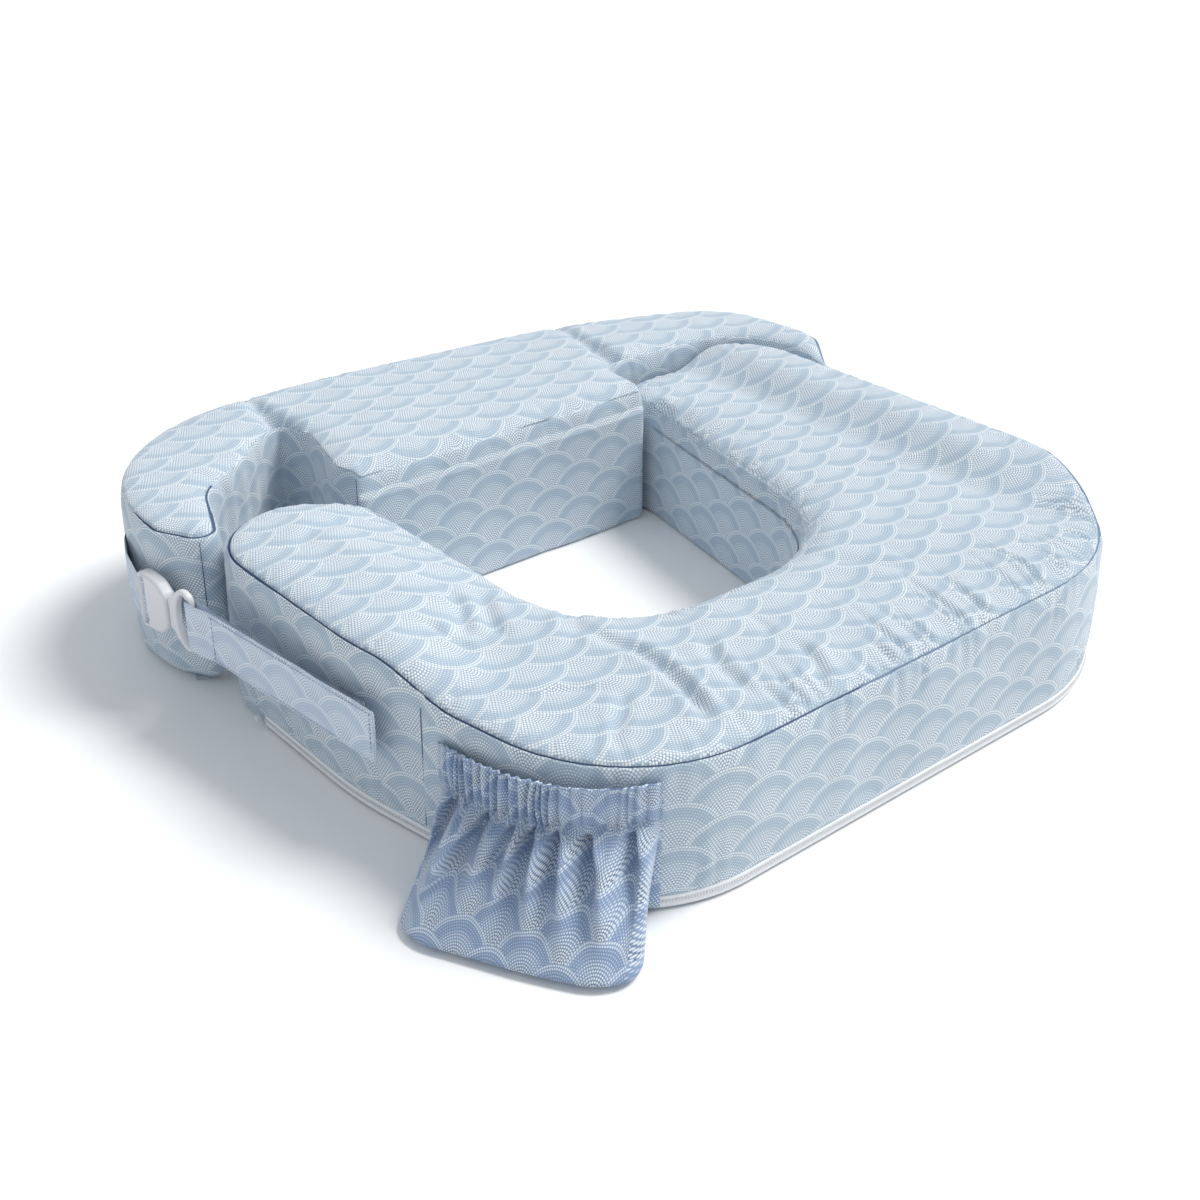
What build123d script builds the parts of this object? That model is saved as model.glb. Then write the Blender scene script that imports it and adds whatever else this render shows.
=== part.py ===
from build123d import *
import math
import os

os.makedirs("parts", exist_ok=True)

# A wrap-around nursing pillow. The tray points to -Y and the lumbar block to +Y, and
# the clip side is -X. All sizes are in millimetres.

# Heights
TRAY_H = 102.0        # flat top of the tray
RIDGE_H = 118.0       # top of the raised ridge along each arm
BAND_H = 121.0        # top of the back band and its lumbar block

# Tray outline
HALF_W = 284.0        # outer face of each arm
TAPER_Y = -95.0       # the clip side starts to taper in here
NEAR_FRONT = (-236.0, -303.0)   # front corner on the clip side
FAR_FRONT = (284.0, -287.0)     # front corner on the joined side
NEAR_TIP_Y = 100.0    # end of the arm on the clip side
FAR_TIP_Y = 152.0     # end of the arm on the joined side
TIP_R = 62.0          # outer corner of each arm's end
TIP_IN_R = 40.0       # inner corner of each arm's end
NEAR_IN_X = -139.0    # waist opening, clip side
FAR_IN_X = 137.0      # waist opening, joined side, at the block
WAIST_Y = -156.0      # front of the waist opening
WAIST_FAR = (84.0, -154.0)      # front corner of the waist opening, joined side

# Cover and foam
FABRIC = 1.2          # cover panel
EASE = 0.2            # between a foam and its cover
PARTING = 0.5         # each side of a flex line stands back this far

# Flex lines of the back band (vertical axes on its outer face)
WRAP_AXIS = (303.0, 40.0)
FAR_FLEX = (158.0, 259.0)
NEAR_FLEX = (-138.0, 279.0)
NOTCH_DEPTH_Y = 240.0   # the V notches in the foam end here

# Lumbar block
BLOCK_FRONT_Y = 101.0
BLOCK_LEFT_X = -148.0
BLOCK_RIGHT_X = 127.0

# Clip, strap and the line that they lie on
CLIP_CENTRE = (-315.6, 100.0, 72.0)
CLIP_TILT = 5.6       # degrees that the strap leans out towards the clip
STRAP_HALF = 20.0     # half of the strap's width
STRAP_T = 1.6

# Zipper round the bottom edge
TAPE_T, TAPE_Z0, TAPE_Z1 = 0.8, 3.0, 10.0
COIL_T, COIL_Z0, COIL_Z1 = 1.2, 5.7, 7.3

# Pocket on the front corner of the clip side
POCKET_MID = (-238.5, -229.5)
POCKET_ANGLE = 29.0   # its outward direction, degrees from -X towards -Y
POCKET_HALF = 69.0
POCKET_TOP, POCKET_BAND_Z, POCKET_FLOOR = 90.0, 60.0, 2.0
POCKET_BACK = 2.6     # back panel stands clear of the zipper
MOUTH = 9.0           # depth of the mouth
CASING_T = 4.5

solids = {}


def outline(points, radii):
    """A closed face through corner points, each rounded by its own radius."""
    return make_face(FilletPolyline(*points, radius=radii, close=True))


def prism(face, z0, z1):
    return Pos(0, 0, z0) * extrude(face, amount=z1 - z0)


def box_between(low, high):
    size = [b - a for a, b in zip(low, high)]
    middle = [(a + b) / 2 for a, b in zip(low, high)]
    return Pos(*middle) * Box(*size)


def polygon(points):
    return make_face(Polyline(*points, close=True))


# ---------------------------------------------------------------- tray

TRAY_CORNERS = [
    ((NEAR_IN_X, NEAR_TIP_Y), TIP_IN_R),
    ((-HALF_W, NEAR_TIP_Y), TIP_R),
    ((-HALF_W, TAPER_Y), 300),
    (NEAR_FRONT, 102),
    (FAR_FRONT, 118),
    ((HALF_W, FAR_TIP_Y), TIP_R),
    ((FAR_IN_X, FAR_TIP_Y), TIP_IN_R),
    ((FAR_IN_X, BLOCK_FRONT_Y), 90),
    (WAIST_FAR, 107),
    ((NEAR_IN_X, WAIST_Y), 80),
]
tray_face = outline([p for p, r in TRAY_CORNERS], [r for p, r in TRAY_CORNERS])


def tray_grown(amount):
    return offset(tray_face, amount=amount)


def ridge_wedge(low, high, drop):
    """Block with sloped inner sides that the ridge on one arm is cut from."""
    base = Pos(0, 0, TRAY_H - 6 - drop) * polygon(low)
    crest = Pos(0, 0, RIDGE_H - drop) * polygon(high)
    return loft([base, crest], ruled=True)


NEAR_RIDGE_LOW = [(-400, 200), (-196, 200), (-196, -70), (-240, -145), (-400, -145)]
NEAR_RIDGE_HIGH = [(-400, 200), (-234, 200), (-234, -80), (-268, -118), (-400, -118)]
FAR_RIDGE_LOW = [(400, 300), (212, 300), (212, -186), (252, -240), (400, -240)]
FAR_RIDGE_HIGH = [(400, 300), (246, 300), (246, -160), (278, -196), (400, -196)]


def tray_form(inset):
    """The tray with both ridges, its surface drawn in by inset."""
    face = tray_grown(-inset) if inset else tray_face
    near = ridge_wedge(NEAR_RIDGE_LOW, NEAR_RIDGE_HIGH, inset)
    far = ridge_wedge(FAR_RIDGE_LOW, FAR_RIDGE_HIGH, inset)
    slab = prism(face, inset, TRAY_H - inset)
    above = prism(face, TRAY_H - inset, RIDGE_H - inset)
    return slab, above & near, above & far


slab, near_ridge, far_ridge = tray_form(FABRIC + EASE)
solids["tray_foam"] = slab
solids["near_ridge_foam"] = near_ridge
solids["far_ridge_foam"] = far_ridge

outer_slab, outer_near, outer_far = tray_form(0)
inner_slab, inner_near, inner_far = tray_form(FABRIC)
tray_skin = (outer_slab + outer_near + outer_far) - (inner_slab + inner_near + inner_far)
wall = prism(tray_face - tray_grown(-FABRIC), FABRIC, RIDGE_H)
wall = wall & (Pos(0, 0, -FABRIC) * (outer_slab + outer_near + outer_far))
hole_zone = box_between((NEAR_IN_X - 12, WAIST_Y - 12, -1), (FAR_IN_X + 12, 200, 200))
solids["tray_cover_bottom"] = prism(tray_face, 0, FABRIC)
solids["tray_cover_top"] = tray_skin - wall - solids["tray_cover_bottom"]
solids["tray_cover_outer_side"] = wall - hole_zone
solids["tray_cover_waist_side"] = wall & hole_zone

# ---------------------------------------------------------------- zipper

ZIP_NEAR_Y, ZIP_FAR_Y = 20.0, -4.0
zip_zone = polygon([
    (-400, ZIP_NEAR_Y), (-400, -400), (400, -400), (400, ZIP_FAR_Y),
    (200, ZIP_FAR_Y), (200, -200), (-200, -200), (-200, ZIP_NEAR_Y),
])


def edge_strip(inner, outer, zone):
    """A strip that follows the tray's outline, between two offsets of it."""
    inner_face = tray_grown(inner) if inner else tray_face
    return (tray_grown(outer) - inner_face) & zone


solids["zipper_tape"] = prism(edge_strip(0, TAPE_T, zip_zone), TAPE_Z0, TAPE_Z1)
solids["zipper_coil"] = prism(edge_strip(TAPE_T, TAPE_T + COIL_T, zip_zone), COIL_Z0, COIL_Z1)

STOP = (2.4, 3.0, 4.0)
stop_x = HALF_W + STOP[0] / 2
stop_z = (TAPE_Z0 + TAPE_Z1) / 2
solids["zipper_end_stops"] = (
    Pos(-stop_x, ZIP_NEAR_Y + STOP[1], stop_z) * Box(*STOP)
    + Pos(stop_x, ZIP_FAR_Y + STOP[1], stop_z) * Box(*STOP)
)

SLIDER_Y = ZIP_FAR_Y - 7.0
SLIDER_LEN, SLIDER_H = 9.0, 7.0
slider_in = HALF_W + TAPE_T + 0.4
slider_out = slider_in + 3.6
slider = box_between(
    (slider_in, SLIDER_Y - SLIDER_LEN / 2, stop_z - SLIDER_H / 2),
    (slider_out, SLIDER_Y + SLIDER_LEN / 2, stop_z + SLIDER_H / 2),
)
slider = fillet(slider.edges().filter_by(Axis.X), 1.5)
slider -= box_between(
    (slider_in - 1, SLIDER_Y - SLIDER_LEN, COIL_Z0 - 0.5),
    (HALF_W + TAPE_T + COIL_T + 0.5, SLIDER_Y + SLIDER_LEN, COIL_Z1 + 0.5),
)
# two lugs that carry the pull's pin
PULL_PIN = (slider_out + 1.4, SLIDER_Y + 2.0)
for lug_z in (stop_z - 2.6, stop_z + 2.6):
    slider += box_between(
        (slider_out - 0.2, PULL_PIN[1] - 1.6, lug_z - 0.6),
        (slider_out + 2.8, PULL_PIN[1] + 1.6, lug_z + 0.6),
    )
pull_axis = Pos(PULL_PIN[0], PULL_PIN[1], stop_z)
solids["zipper_slider"] = slider - pull_axis * Cylinder(0.9, 10)

pull_pin = pull_axis * Cylinder(0.8, 6.2)
pull_tab = box_between(
    (PULL_PIN[0] - 0.6, PULL_PIN[1] - 19, stop_z - 1.7),
    (PULL_PIN[0] + 0.6, PULL_PIN[1] + 0.4, stop_z + 1.7),
)
solids["zipper_pull"] = pull_tab + pull_pin

# ---------------------------------------------------------------- back band

BAND_CORNERS = [
    ((287, 2), 1),
    ((333, 112), 60),
    ((313, 207), 38),
    ((165, 259), 500),
    ((-90, 281), 800),
    ((-309, 272), 150),
    ((-311, 112), 10),
    ((-279, 64), 12),
    ((-244, 146), 45),
    ((-200, 177), 30),
    ((-163, 207), 6),
    ((-146, 214), 3),
    ((-137, 190), 8),
    ((-154, 126), 10),
    ((BLOCK_LEFT_X, BLOCK_FRONT_Y), 6),
    ((BLOCK_RIGHT_X, BLOCK_FRONT_Y), 6),
    ((131, 158), 6),
    ((160, 166), 6),
    ((HALF_W + 5, 152), 66),
    ((HALF_W + 5, 34), 1),
    ((HALF_W + 0.3, 34), 1),
    ((HALF_W + 0.3, 2), 0.8),
]
band_face = outline([p for p, r in BAND_CORNERS], [r for p, r in BAND_CORNERS])


def flex_wedge(axis, mouth_left, mouth_right):
    """V notch from a flex line on the outer face to the inner face, with its two sides apart."""
    x, y = axis
    return polygon([
        (x - PARTING, y + 30), (x - PARTING, NOTCH_DEPTH_Y), mouth_left,
        mouth_right, (x + PARTING, NOTCH_DEPTH_Y), (x + PARTING, y + 30),
    ])


near_notch = flex_wedge(NEAR_FLEX, (-152, 208), (-145.5, 208))
far_notch = flex_wedge(FAR_FLEX, (130, 140), (161, 140))
web_gap = polygon([
    (200, WRAP_AXIS[1] - PARTING), (400, WRAP_AXIS[1] - PARTING),
    (400, WRAP_AXIS[1] + PARTING), (200, WRAP_AXIS[1] + PARTING),
])
LEFT, RIGHT = -450, 450
pad_zone = polygon([(LEFT, 0), (-158, 0), (-158, 150), (-148, 208),
                    (NEAR_FLEX[0], NOTCH_DEPTH_Y), (NEAR_FLEX[0], 400), (LEFT, 400)])
lumbar_zone = polygon([(-158, 90), (145, 90), (145, 150), (FAR_FLEX[0], NOTCH_DEPTH_Y),
                       (FAR_FLEX[0], 400), (NEAR_FLEX[0], 400),
                       (NEAR_FLEX[0], NOTCH_DEPTH_Y), (-148, 208), (-158, 150)])
wing_zone = polygon([(145, WRAP_AXIS[1]), (RIGHT, WRAP_AXIS[1]), (RIGHT, 400),
                     (FAR_FLEX[0], 400), (FAR_FLEX[0], NOTCH_DEPTH_Y), (145, 150)])
web_zone = polygon([(HALF_W, -60), (RIGHT, -60), (RIGHT, WRAP_AXIS[1]), (HALF_W, WRAP_AXIS[1])])

cuts = near_notch + far_notch + web_gap
sections = {
    "end_pad": (band_face & pad_zone) - cuts,
    "lumbar": (band_face & lumbar_zone) - cuts,
    "far_wing": (band_face & wing_zone) - cuts,
    "web": (band_face & web_zone) - web_gap,
}
# The cover is open where a foam meets its neighbour at a flex line.
CUT_BACK = FABRIC + PARTING + 0.3
open_ends = {
    "end_pad": [(NEAR_FLEX, (NOTCH_DEPTH_Y, 300))],
    "lumbar": [(NEAR_FLEX, (NOTCH_DEPTH_Y, 300)), (FAR_FLEX, (NOTCH_DEPTH_Y, 300))],
    "far_wing": [(FAR_FLEX, (NOTCH_DEPTH_Y, 300))],
    "web": [],
}
for name, face in sections.items():
    foam_face = offset(face, amount=-(FABRIC + EASE))
    solids[name + "_foam"] = prism(foam_face, FABRIC + EASE, BAND_H - FABRIC - EASE)
    side = prism(face - offset(face, amount=-FABRIC), FABRIC, BAND_H - FABRIC)
    for (x, y), (y0, y1) in open_ends[name]:
        side -= box_between((x - CUT_BACK, y0, 0), (x + CUT_BACK, y - 0.1 - FABRIC, BAND_H))
    solids[name + "_cover_side"] = side
    solids[name + "_cover_top"] = prism(face, BAND_H - FABRIC, BAND_H)
    solids[name + "_cover_bottom"] = prism(face, 0, FABRIC)

# ---------------------------------------------------------------- clip and straps

tilt = math.radians(CLIP_TILT)
clip_dir = (-math.sin(tilt), math.cos(tilt), 0)
clip_out = (-math.cos(tilt), -math.sin(tilt), 0)
clip_plane = Plane(origin=CLIP_CENTRE, x_dir=clip_dir, z_dir=clip_out)


def in_clip(shape):
    """Places a shape drawn with X along the strap, Y across it and Z outwards."""
    return clip_plane * shape


def slab_profile(points, half_width):
    """Extrudes a profile in the X-Z plane of the clip across the strap's width."""
    face = make_face(Plane.XZ * Polyline(*points, close=True))
    return extrude(face, amount=half_width, both=True)


# female half: a flat housing open to -X, with side windows and a strap bar
FEMALE_HALF_W, FEMALE_HALF_T = 22.0, 5.5
MOUTH_X, HOUSING_END = -16.0, 20.0
female = box_between((MOUTH_X, -FEMALE_HALF_W, -FEMALE_HALF_T),
                     (HOUSING_END, FEMALE_HALF_W, FEMALE_HALF_T))
female = fillet(female.edges().filter_by(Axis.Z), 4)
female = chamfer(female.faces().sort_by(Axis.Z)[-1].edges(), 1)
female -= box_between((MOUTH_X - 1, -17.6, -3.2), (8, 17.6, 3.2))
female -= box_between((-9, -30, -2.6), (3, 30, 2.6))
female -= box_between((11, -20.8, -9), (16, 20.8, 9))
female -= box_between((15, -20.8, 2), (HOUSING_END + 1, 20.8, 9))
female -= box_between((15, -20.8, -9), (HOUSING_END + 1, 20.8, -2))
solids["buckle_female"] = in_clip(female)

# male half: strap ring, base, centre guide and two spring arms
BASE_X = -24.0
RING_END = -46.0
male = box_between((RING_END, -24.5, -2.5), (BASE_X, 24.5, 2.5))
male = fillet(male.edges().filter_by(Axis.Z), 7)
male -= box_between((RING_END + 4.5, -20.8, -5), (BASE_X - 4, 20.8, 5))
male += box_between((BASE_X - 2, -20, -3), (MOUTH_X - 0.8, 20, 3))
male += box_between((MOUTH_X - 2, -3, -1.9), (0, 3, 1.9))
for side in (-1, 1):
    male += box_between((MOUTH_X - 2, min(side * 11.5, side * 15.5), -1.9),
                        (1, max(side * 11.5, side * 15.5), 1.9))
    male += box_between((-7, min(side * 12, side * 16.6), -1.9),
                        (1, max(side * 12, side * 16.6), 1.9))
solids["buckle_male"] = in_clip(male)

# strap on the tray side: folded round the ring's bar, its free end lying outside
FREE_END, SEWN_END = -226.0, -206.0
BAR_X = RING_END + 4.5          # inner edge of the ring's bar
wrap_in, wrap_out = 2.9, 2.9 + STRAP_T
turn_in, turn_out = BAR_X + 0.4, BAR_X + 0.4 + STRAP_T
strap_profile = [
    (FREE_END, 0.4 + STRAP_T), (-64, 0.4 + STRAP_T), (-52, wrap_out), (turn_out - 1.5, wrap_out),
    (turn_out, wrap_out - 1.5), (turn_out, 1.5 - wrap_out), (turn_out - 1.5, -wrap_out),
    (-52, -wrap_out), (-64, -0.4 - STRAP_T), (SEWN_END, -0.4 - STRAP_T), (SEWN_END, -0.4),
    (-63.6, -0.4), (-51.6, -wrap_in), (turn_in, -wrap_in), (turn_in, wrap_in),
    (-51.6, wrap_in), (-63.6, 0.4), (FREE_END, 0.4),
]
solids["near_strap"] = in_clip(slab_profile(strap_profile, STRAP_HALF))

anchor_zone = polygon([(-400, -119), (-200, -119), (-200, -91), (-400, -91)])
solids["strap_anchor_tab"] = prism(edge_strip(0, 3.2, anchor_zone), 50, 86)

# strap on the end pad: round the housing's bar and back to the pad's outer face
bar_in, bar_out = 16.4 - 0.8, HOUSING_END + 0.4
pad_loop = slab_profile([(bar_in - STRAP_T, -4), (bar_out + STRAP_T, -4),
                         (bar_out + STRAP_T, 4), (bar_in - STRAP_T, 4)], STRAP_HALF)
pad_loop -= slab_profile([(bar_in, -2.4), (bar_out, -2.4), (bar_out, 2.4), (bar_in, 2.4)], 30)
start = clip_plane.from_local_coords(Vector(bar_out + STRAP_T / 2, 0, 0))
PAD_STRAP_END = (-303.9, 184.0)
pad_strap_mid = (-313.8, 148.0)
strap_line = FilletPolyline((start.X, start.Y), pad_strap_mid, PAD_STRAP_END, radius=60)
pad_band = prism(trace(strap_line, line_width=3.2), CLIP_CENTRE[2] - STRAP_HALF,
                 CLIP_CENTRE[2] + STRAP_HALF)
pad_outside = prism(offset(sections["end_pad"], amount=0.3), 0, BAND_H)
solids["pad_strap"] = (in_clip(pad_loop) + pad_band) - pad_outside

# ---------------------------------------------------------------- pocket

phi = math.radians(POCKET_ANGLE)
pocket_out = (-math.cos(phi), -math.sin(phi), 0)
pocket_along = (math.sin(phi), -math.cos(phi), 0)
pocket_plane = Plane(origin=(*POCKET_MID, 0), x_dir=pocket_along, z_dir=(0, 0, 1))


def in_pocket(shape):
    """Places a shape drawn with X along the mouth; -Y then points away from the tray."""
    return pocket_plane * shape


def pocket_polygon(points):
    """Points are (along the mouth, outwards)."""
    return in_pocket(polygon([(t, -n) for t, n in points]))


strip = pocket_polygon([(-POCKET_HALF, -40), (POCKET_HALF, -40), (POCKET_HALF, 60),
                        (-POCKET_HALF, 60)])
BACK_OUT = POCKET_BACK + FABRIC
solids["pocket_back_panel"] = prism(edge_strip(POCKET_BACK, BACK_OUT, strip),
                                    POCKET_FLOOR, POCKET_TOP)

CASING_IN = BACK_OUT + MOUTH
ELASTIC_IN, ELASTIC_OUT = CASING_IN + 1.4, CASING_IN + CASING_T - 1.4
inner_strip = pocket_polygon([(-POCKET_HALF + 3, -40), (POCKET_HALF - 3, -40),
                              (POCKET_HALF - 3, 60), (-POCKET_HALF + 3, 60)])
elastic_zone = pocket_polygon([(-POCKET_HALF + 4, -40), (POCKET_HALF - 4, -40),
                               (POCKET_HALF - 4, 60), (-POCKET_HALF + 4, 60)])
casing = prism(edge_strip(BACK_OUT, CASING_IN + CASING_T, strip), POCKET_BAND_Z, POCKET_TOP)
casing -= prism(edge_strip(BACK_OUT - 1, CASING_IN, inner_strip), 0, 200)
elastic = prism(edge_strip(ELASTIC_IN, ELASTIC_OUT, elastic_zone),
                POCKET_BAND_Z + 4, POCKET_TOP - 4)
solids["pocket_elastic"] = elastic
solids["pocket_mouth_casing"] = casing - prism(
    edge_strip(ELASTIC_IN - 0.2, ELASTIC_OUT + 0.2, inner_strip),
    POCKET_BAND_Z + 3.5, POCKET_TOP - 3.5)

POUCH_HIGH = [(-69, -25), (-69, 12), (-36, 24), (12, 29), (46, 24), (69, 12), (69, -25)]
POUCH_LOW = [(-62, -25), (-62, 60), (-48, 76), (12, 79), (62, 76), (79, 60), (79, -25)]


def shrink(points, amount):
    """Draws a pouch outline in on its three free sides."""
    mid = (points[0][0] + points[-1][0]) / 2
    return [(t - math.copysign(amount, t - mid) if abs(t - mid) > 40 else t,
             n - amount if n > 0 else n) for t, n in points]


def pouch_form(amount, z0, z1):
    low = Pos(0, 0, z0) * pocket_polygon(shrink(POUCH_LOW, amount))
    high = Pos(0, 0, z1) * pocket_polygon(shrink(POUCH_HIGH, amount))
    return loft([low, high], ruled=True)


POUCH_T = 2.0
pouch = pouch_form(0, POCKET_FLOOR, POCKET_BAND_Z)
pouch -= pouch_form(POUCH_T, POCKET_FLOOR + POUCH_T, POCKET_BAND_Z)
pouch -= prism(tray_grown(BACK_OUT), -1, 100)
solids["pocket_pouch"] = pouch

# ---------------------------------------------------------------- export

assembly = Compound(children=[Compound(shape.solids()) for shape in solids.values()])
middle = assembly.bounding_box().center()
shift = Pos(-middle.X, -middle.Y, 0)
print("shift", round(-middle.X, 4), round(-middle.Y, 4))
for node, shape in solids.items():
    pieces = (shift * shape).solids()
    export_step(Compound(pieces) if len(pieces) > 1 else pieces[0], f"parts/{node}.step")
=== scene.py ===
import math

import bpy
import numpy as np
from mathutils import Matrix, Vector
from mathutils.geometry import delaunay_2d_cdt


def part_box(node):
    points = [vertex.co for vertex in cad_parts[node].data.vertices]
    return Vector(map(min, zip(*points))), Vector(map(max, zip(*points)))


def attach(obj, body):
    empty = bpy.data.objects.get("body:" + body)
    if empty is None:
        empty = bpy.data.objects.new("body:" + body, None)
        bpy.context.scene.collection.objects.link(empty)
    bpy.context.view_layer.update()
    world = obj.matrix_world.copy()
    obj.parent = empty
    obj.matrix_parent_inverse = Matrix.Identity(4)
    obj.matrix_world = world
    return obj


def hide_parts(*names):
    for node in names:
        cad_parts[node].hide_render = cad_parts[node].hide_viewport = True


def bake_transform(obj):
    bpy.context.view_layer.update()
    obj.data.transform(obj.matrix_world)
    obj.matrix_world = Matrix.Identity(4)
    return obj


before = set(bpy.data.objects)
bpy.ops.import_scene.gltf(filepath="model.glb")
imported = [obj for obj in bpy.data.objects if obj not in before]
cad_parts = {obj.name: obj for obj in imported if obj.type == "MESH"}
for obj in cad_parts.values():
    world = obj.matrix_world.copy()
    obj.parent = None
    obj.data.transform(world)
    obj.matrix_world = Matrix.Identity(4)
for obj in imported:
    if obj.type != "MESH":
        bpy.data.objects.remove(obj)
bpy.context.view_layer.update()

# Outlines and heights are in millimetres, in the drawing's own coordinates: the tray points to
# -Y, the lumbar block to +Y, and the clip side is -X. to_row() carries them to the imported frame.
MM = 0.001
HALF_W, FAR_TIP_Y = 284.0, 152.0
TRAY_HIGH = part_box("tray_cover_bottom")[1]
ORIGIN = np.array((TRAY_HIGH.x / MM - HALF_W, TRAY_HIGH.y / MM - FAR_TIP_Y, 0.0))
TRAY_TOP, RIDGE_RISE = 102.0, 16.0
BAND_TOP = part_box("lumbar_cover_top")[1].z / MM

ZIP_TOP = 9.5             # the zipper's tape ends at this height
MESH_STEP = 3.0           # edge length of the cover meshes
SEAM_INSET = 3.0          # the top seam lies this far inside the widest outline
SEAM_DROP = 4.5           # and this far below the top of the panel, or more at a soft edge

TRAY_CORNERS = [
    ((-139, 100), 40), ((-281, 100), 62), ((-281, -90), 300), ((-243, -303), 110),
    ((286, -301), 156), ((285, 152), 62), ((137, 152), 32), ((137, 101), 90),
    ((84, -154), 107), ((-139, -156), 80),
]
BAND_CORNERS = [
    ((287, 0), 1), ((299, 60), 34), ((329, 106), 60), ((318, 208), 76), ((166, 266), 500),
    ((-70, 287), 700), ((-302, 279), 158), ((-302, 112), 12), ((-276, 64), 14), ((-242, 146), 45),
    ((-200, 177), 30), ((-163, 207), 9), ((-146, 214), 3), ((-137, 190), 10),
    ((-154, 126), 12), ((-148, 101), 8), ((127, 101), 7), ((132, 156), 8), ((156, 159), 7),
    ((287.5, 153.5), 63), ((289, 34), 1), ((285.6, 34), 1), ((285.6, 0), 0.6),
]
NEAR_RIDGE = (
    [(-140, 400), (-142, -50), (-236, -176), (-500, -176)],
    [(-222, 400), (-222, -60), (-262, -108), (-500, -108)],
)
FAR_RIDGE = (
    [(200, 400), (200, -170), (232, -262), (500, -310)],
    [(250, 400), (250, -140), (284, -176), (500, -190)],
)
NEAR_FLEX = ((-146, 212), (-138, 279))
FAR_FLEX = ((146, 160), (158, 261))


# ---- geometry helpers

def to_row(points):
    """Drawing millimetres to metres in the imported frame."""
    return (np.asarray(points, float) + ORIGIN) * MM


def row_point(x, y, z):
    return Vector(to_row((x, y, z)))


def smooth(t):
    t = np.clip(t, 0.0, 1.0)
    return t * t * (3 - 2 * t)


def bell(t):
    return np.exp(-t * t)


def random_at(i, j, seed):
    """A fixed pseudo-random number from 0 to 1 for each pair of whole numbers."""
    value = np.sin(i * 127.1 + j * 311.7 + seed * 74.7) * 43758.5453
    return value - np.floor(value)


def noise(x, y, seed):
    """Smooth noise from -1 to 1, with a grid of one unit."""
    x, y = np.broadcast_arrays(np.asarray(x, float), np.asarray(y, float))
    i, j = np.floor(x), np.floor(y)
    u, v = smooth(x - i), smooth(y - j)
    low = random_at(i, j, seed) * (1 - u) + random_at(i + 1, j, seed) * u
    high = random_at(i, j + 1, seed) * (1 - u) + random_at(i + 1, j + 1, seed) * u
    return 2 * (low * (1 - v) + high * v) - 1


def distances(points):
    """How far along a line each of its points is."""
    return np.concatenate([[0], np.cumsum(np.linalg.norm(np.diff(points, axis=0), axis=1))])


def points_at(s, along, points):
    """Plan points at distances s along a line."""
    return np.column_stack([np.interp(s, along, points[:, k]) for k in (0, 1)])


def unit(v):
    v = np.asarray(v, float)
    return v / np.linalg.norm(v)


def resample(points, step):
    """Evenly spaced points round a closed line."""
    closed = np.vstack([points, points[:1]])
    along = distances(closed)
    count = int(round(along[-1] / step))
    s = np.arange(count) * along[-1] / count
    return points_at(s, along, closed), s


def rounded(corners):
    """A closed outline through corner points, each rounded by its own radius."""
    points = []
    for i, (corner, radius) in enumerate(corners):
        p = np.array(corner, float)
        a = unit(corners[i - 1][0] - p)
        b = unit(corners[(i + 1) % len(corners)][0] - p)
        half = math.acos(float(a @ b)) / 2
        centre = p + unit(a + b) * radius / math.sin(half)
        start = p + a * radius / math.tan(half) - centre
        turn = math.pi - 2 * half
        if a[0] * b[1] - a[1] * b[0] > 0:
            turn = -turn
        pieces = max(2, int(abs(turn) * radius / 1.5))
        for t in np.linspace(0, turn, pieces + 1):
            c, s = math.cos(t), math.sin(t)
            points.append(centre + (c * start[0] - s * start[1], s * start[0] + c * start[1]))
    return np.array(points)


def outward(points):
    """Unit normals of a closed outline, pointing out of it."""
    tangent = np.roll(points, -1, axis=0) - np.roll(points, 1, axis=0)
    tangent /= np.linalg.norm(tangent, axis=1)[:, None]
    x, y = points[:, 0], points[:, 1]
    area = np.sum(x * np.roll(y, -1) - np.roll(x, -1) * y)
    normal = np.column_stack([tangent[:, 1], -tangent[:, 0]])
    return normal if area > 0 else -normal


def nearest_on(points, line, closed=True):
    """Distance from each point to a line, and how far along the line that is."""
    ends = np.vstack([line, line[:1]]) if closed else np.asarray(line, float)
    a, b = ends[:-1], ends[1:]
    d = b - a
    length = np.linalg.norm(d, axis=1)
    start = distances(ends)[:-1]
    best = np.full(len(points), 1e9)
    along = np.zeros(len(points))
    for k in range(len(a)):
        t = np.clip(((points - a[k]) @ d[k]) / max(length[k] ** 2, 1e-9), 0, 1)
        gap = np.linalg.norm(points - a[k] - t[:, None] * d[k], axis=1)
        near = gap < best
        best[near] = gap[near]
        along[near] = start[k] + t[near] * length[k]
    return best, along


def inside(points, polygon):
    polygon = np.asarray(polygon, float)
    result = np.zeros(len(points), bool)
    x, y = points[:, 0], points[:, 1]
    for (x0, y0), (x1, y1) in zip(polygon, np.roll(polygon, -1, axis=0)):
        crosses = (y0 > y) != (y1 > y)
        at = x0 + (y - y0) * (x1 - x0) / (y1 - y0 if y1 != y0 else 1e-9)
        result ^= crosses & (x < at)
    return result


def ridge_share(points, ridge, side):
    """0 below a ridge's foot, 1 on its crest, and smooth between them."""
    foot, crest = ridge
    far_corner = (side * 500, 400)
    foot_gap, _ = nearest_on(points, foot, closed=False)
    crest_gap, _ = nearest_on(points, crest, closed=False)
    share = foot_gap / (foot_gap + crest_gap + 1e-9)
    share[~inside(points, foot + [far_corner])] = 0
    share[inside(points, crest + [far_corner])] = 1
    return smooth(share)


def tray_height(points):
    ridges = ridge_share(points, NEAR_RIDGE, -1) + ridge_share(points, FAR_RIDGE, 1)
    return TRAY_TOP + RIDGE_RISE * ridges


def band_height(points):
    at_join = smooth((96 - points[:, 1]) / 50) * (points[:, 0] > 200)
    return BAND_TOP - 11 * at_join


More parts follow.
